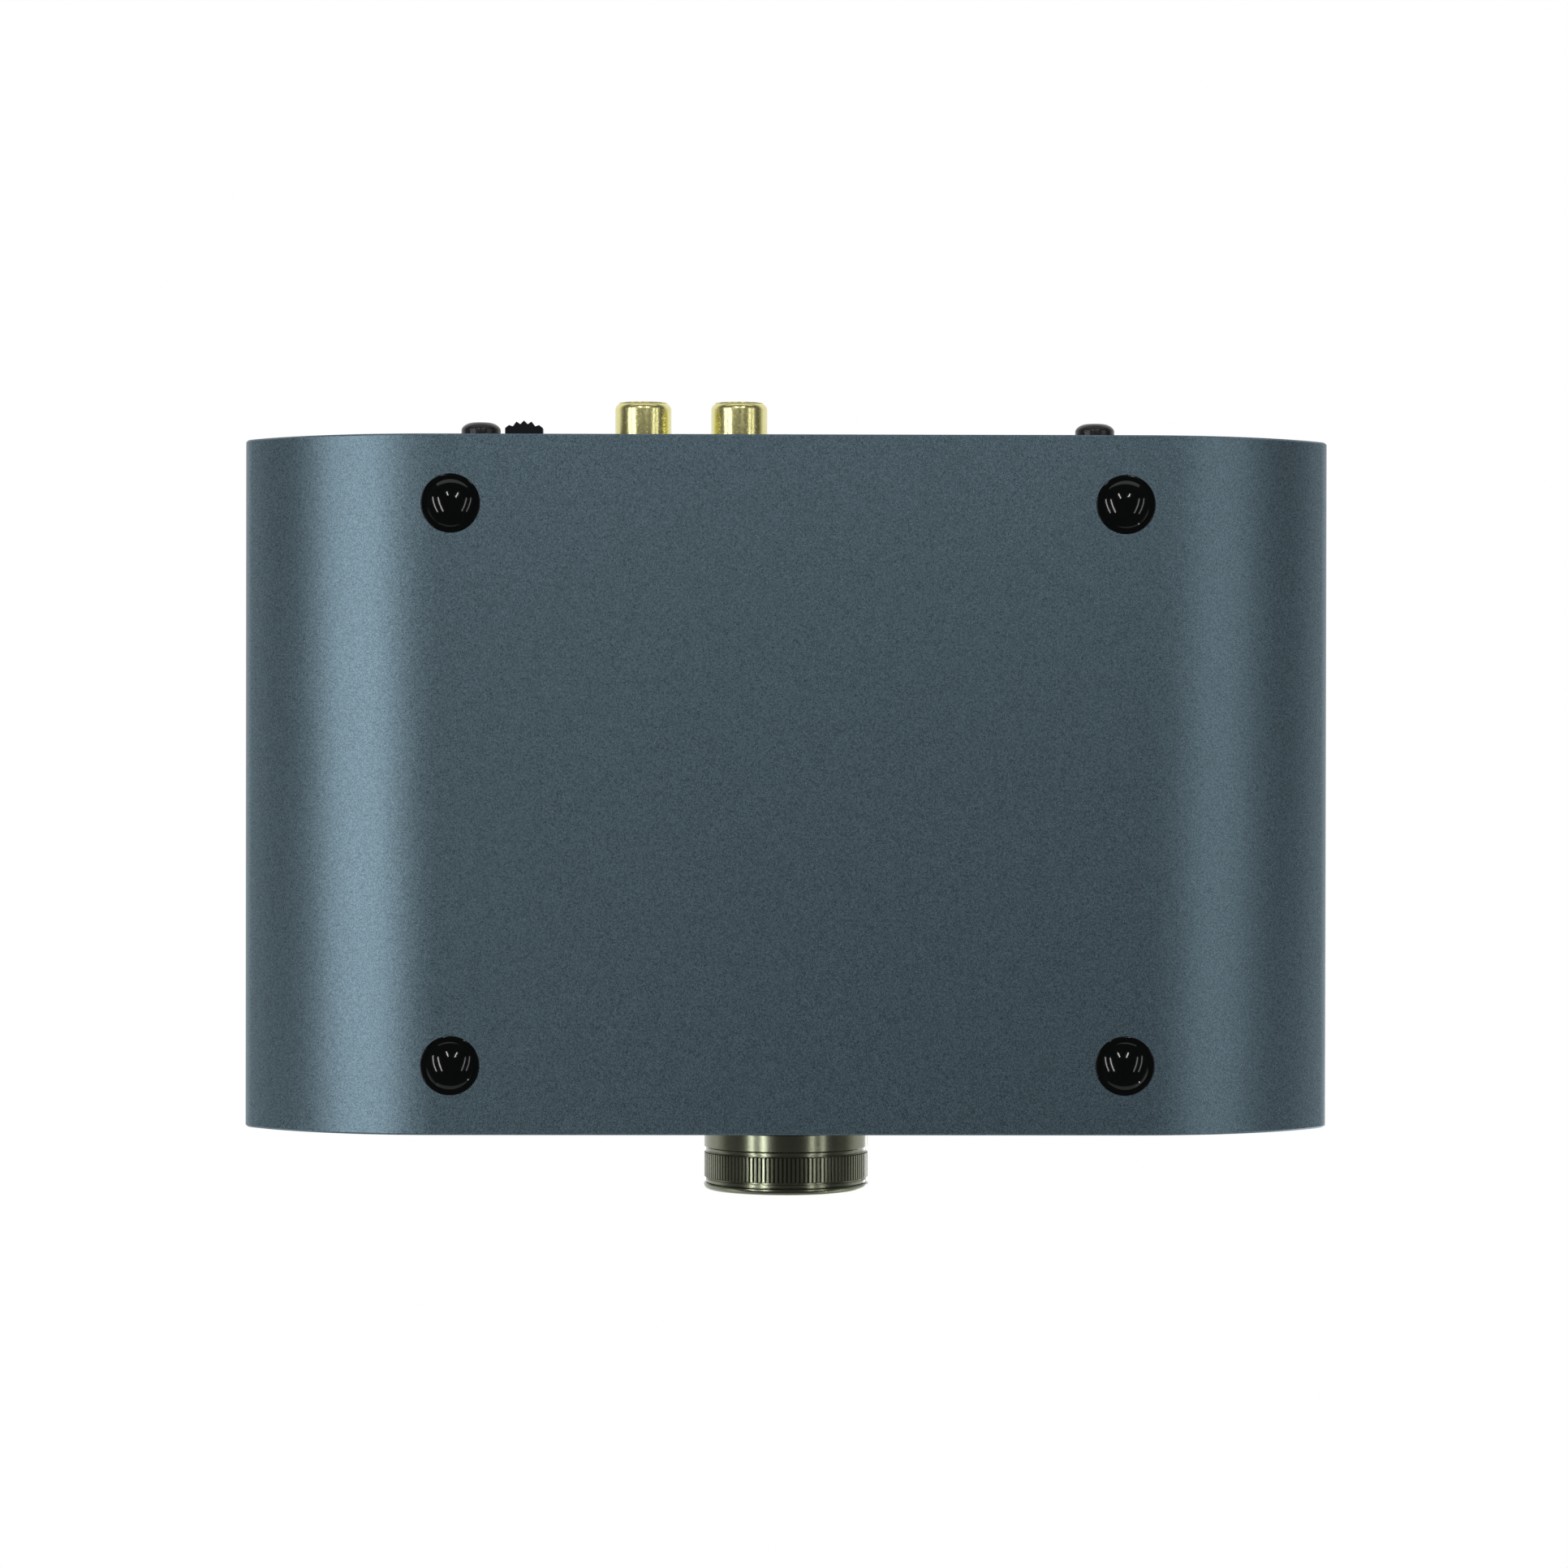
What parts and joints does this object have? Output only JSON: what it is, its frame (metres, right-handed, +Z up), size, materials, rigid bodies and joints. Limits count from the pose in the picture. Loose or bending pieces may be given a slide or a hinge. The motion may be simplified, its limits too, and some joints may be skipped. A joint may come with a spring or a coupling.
{
  "type": "headphone amplifier",
  "caption": "Small desktop headphone amplifier in a lens-ended extruded aluminium case, with a knurled volume knob in front and gold phono sockets and a slide switch at the rear.",
  "frame": {"origin": "on the surface that the feet stand on, under the middle of the whole amplifier, knob and sockets included", "axes": "+X to the right of a user who faces the knob, +Y towards the rear panel, +Z up"},
  "size_m": [0.16, 0.1162, 0.0351],
  "materials": {
    "anodised_case": "bead-blasted and anodised blue-grey, satin",
    "anodised_panel": "anodised dark blue-grey, satin",
    "rubber_foot": "glossy black",
    "black_steel": "blackened",
    "gunmetal_knob": "turned and anodised gunmetal",
    "bright_steel": "plated",
    "gold_plate": "polished gold plating",
    "black_plastic": "moulded black",
    "white_plastic": "moulded white",
    "red_plastic": "moulded red",
    "amber_plastic": "moulded amber",
    "light_lens": "clear, frosted",
    "circuit_board": "green solder mask",
    "capacitor_sleeve": "shrunk plastic sleeve on an aluminium can",
    "ferrite": "matte dark grey"
  },
  "bodies": {
    "amplifier": {"housing_sleeve": "anodised_case", "front_panel": "anodised_panel", "rear_panel": "anodised_panel", "foot_front_left": "rubber_foot", "foot_front_right": "rubber_foot", "foot_rear_left": "rubber_foot", "foot_rear_right": "rubber_foot", "rear_screw_lower_left": "black_steel", "rear_screw_lower_right": "black_steel", "rear_screw_upper_left": "black_steel", "rear_screw_upper_right": "black_steel", "volume_potentiometer_case": "bright_steel", "volume_bushing": "bright_steel", "volume_washer": "bright_steel", "volume_nut": "bright_steel", "large_headphone_socket": "black_plastic", "large_socket_ring": "gunmetal_knob", "small_headphone_socket": "black_plastic", "small_socket_ring": "gunmetal_knob", "power_push_switch": "black_plastic", "gain_push_switch": "black_plastic", "status_light_pipe": "light_lens", "status_lamp": "white_plastic", "phono_socket_block": "black_plastic", "left_phono_shell": "gold_plate", "left_phono_insulator": "white_plastic", "left_phono_contact": "gold_plate", "right_phono_shell": "gold_plate", "right_phono_insulator": "red_plastic", "right_phono_contact": "gold_plate", "input_switch_case": "bright_steel", "line_input_socket": "black_plastic", "line_input_ring": "bright_steel", "power_inlet": "black_plastic", "power_inlet_pin": "bright_steel", "main_board": "circuit_board", "filter_capacitor_1": "capacitor_sleeve", "filter_capacitor_2": "capacitor_sleeve", "coupling_capacitor_1": "capacitor_sleeve", "coupling_capacitor_2": "capacitor_sleeve", "amplifier_chip_1": "black_plastic", "amplifier_chip_2": "black_plastic", "output_relay": "amber_plastic", "voltage_regulator": "black_plastic", "power_inductor": "ferrite"},
    "volume_control": {"volume_knob": "gunmetal_knob", "volume_shaft": "bright_steel"},
    "slider": {"input_slider": "black_plastic"},
    "power_key": {"power_button": "gunmetal_knob"},
    "gain_key": {"gain_button": "gunmetal_knob"}
  },
  "joints": [
    {"name": "volume_turn", "type": "hinge", "parent": "amplifier", "child": "volume_control", "pos_m": [0, -0.0489, 0.0182], "axis": [0, 1, 0], "range_deg": [-150, 150]},
    {"name": "input_slide", "type": "slide", "parent": "amplifier", "child": "slider", "axis": [-1, 0, 0], "range_m": [0, 0.004]},
    {"name": "power_press", "type": "slide", "parent": "amplifier", "child": "power_key", "axis": [0, 1, 0], "range_m": [0, 0.0005], "stiffness_N_per_m": 1500},
    {"name": "gain_press", "type": "slide", "parent": "amplifier", "child": "gain_key", "axis": [0, 1, 0], "range_m": [0, 0.0005], "stiffness_N_per_m": 1500}
  ]
}
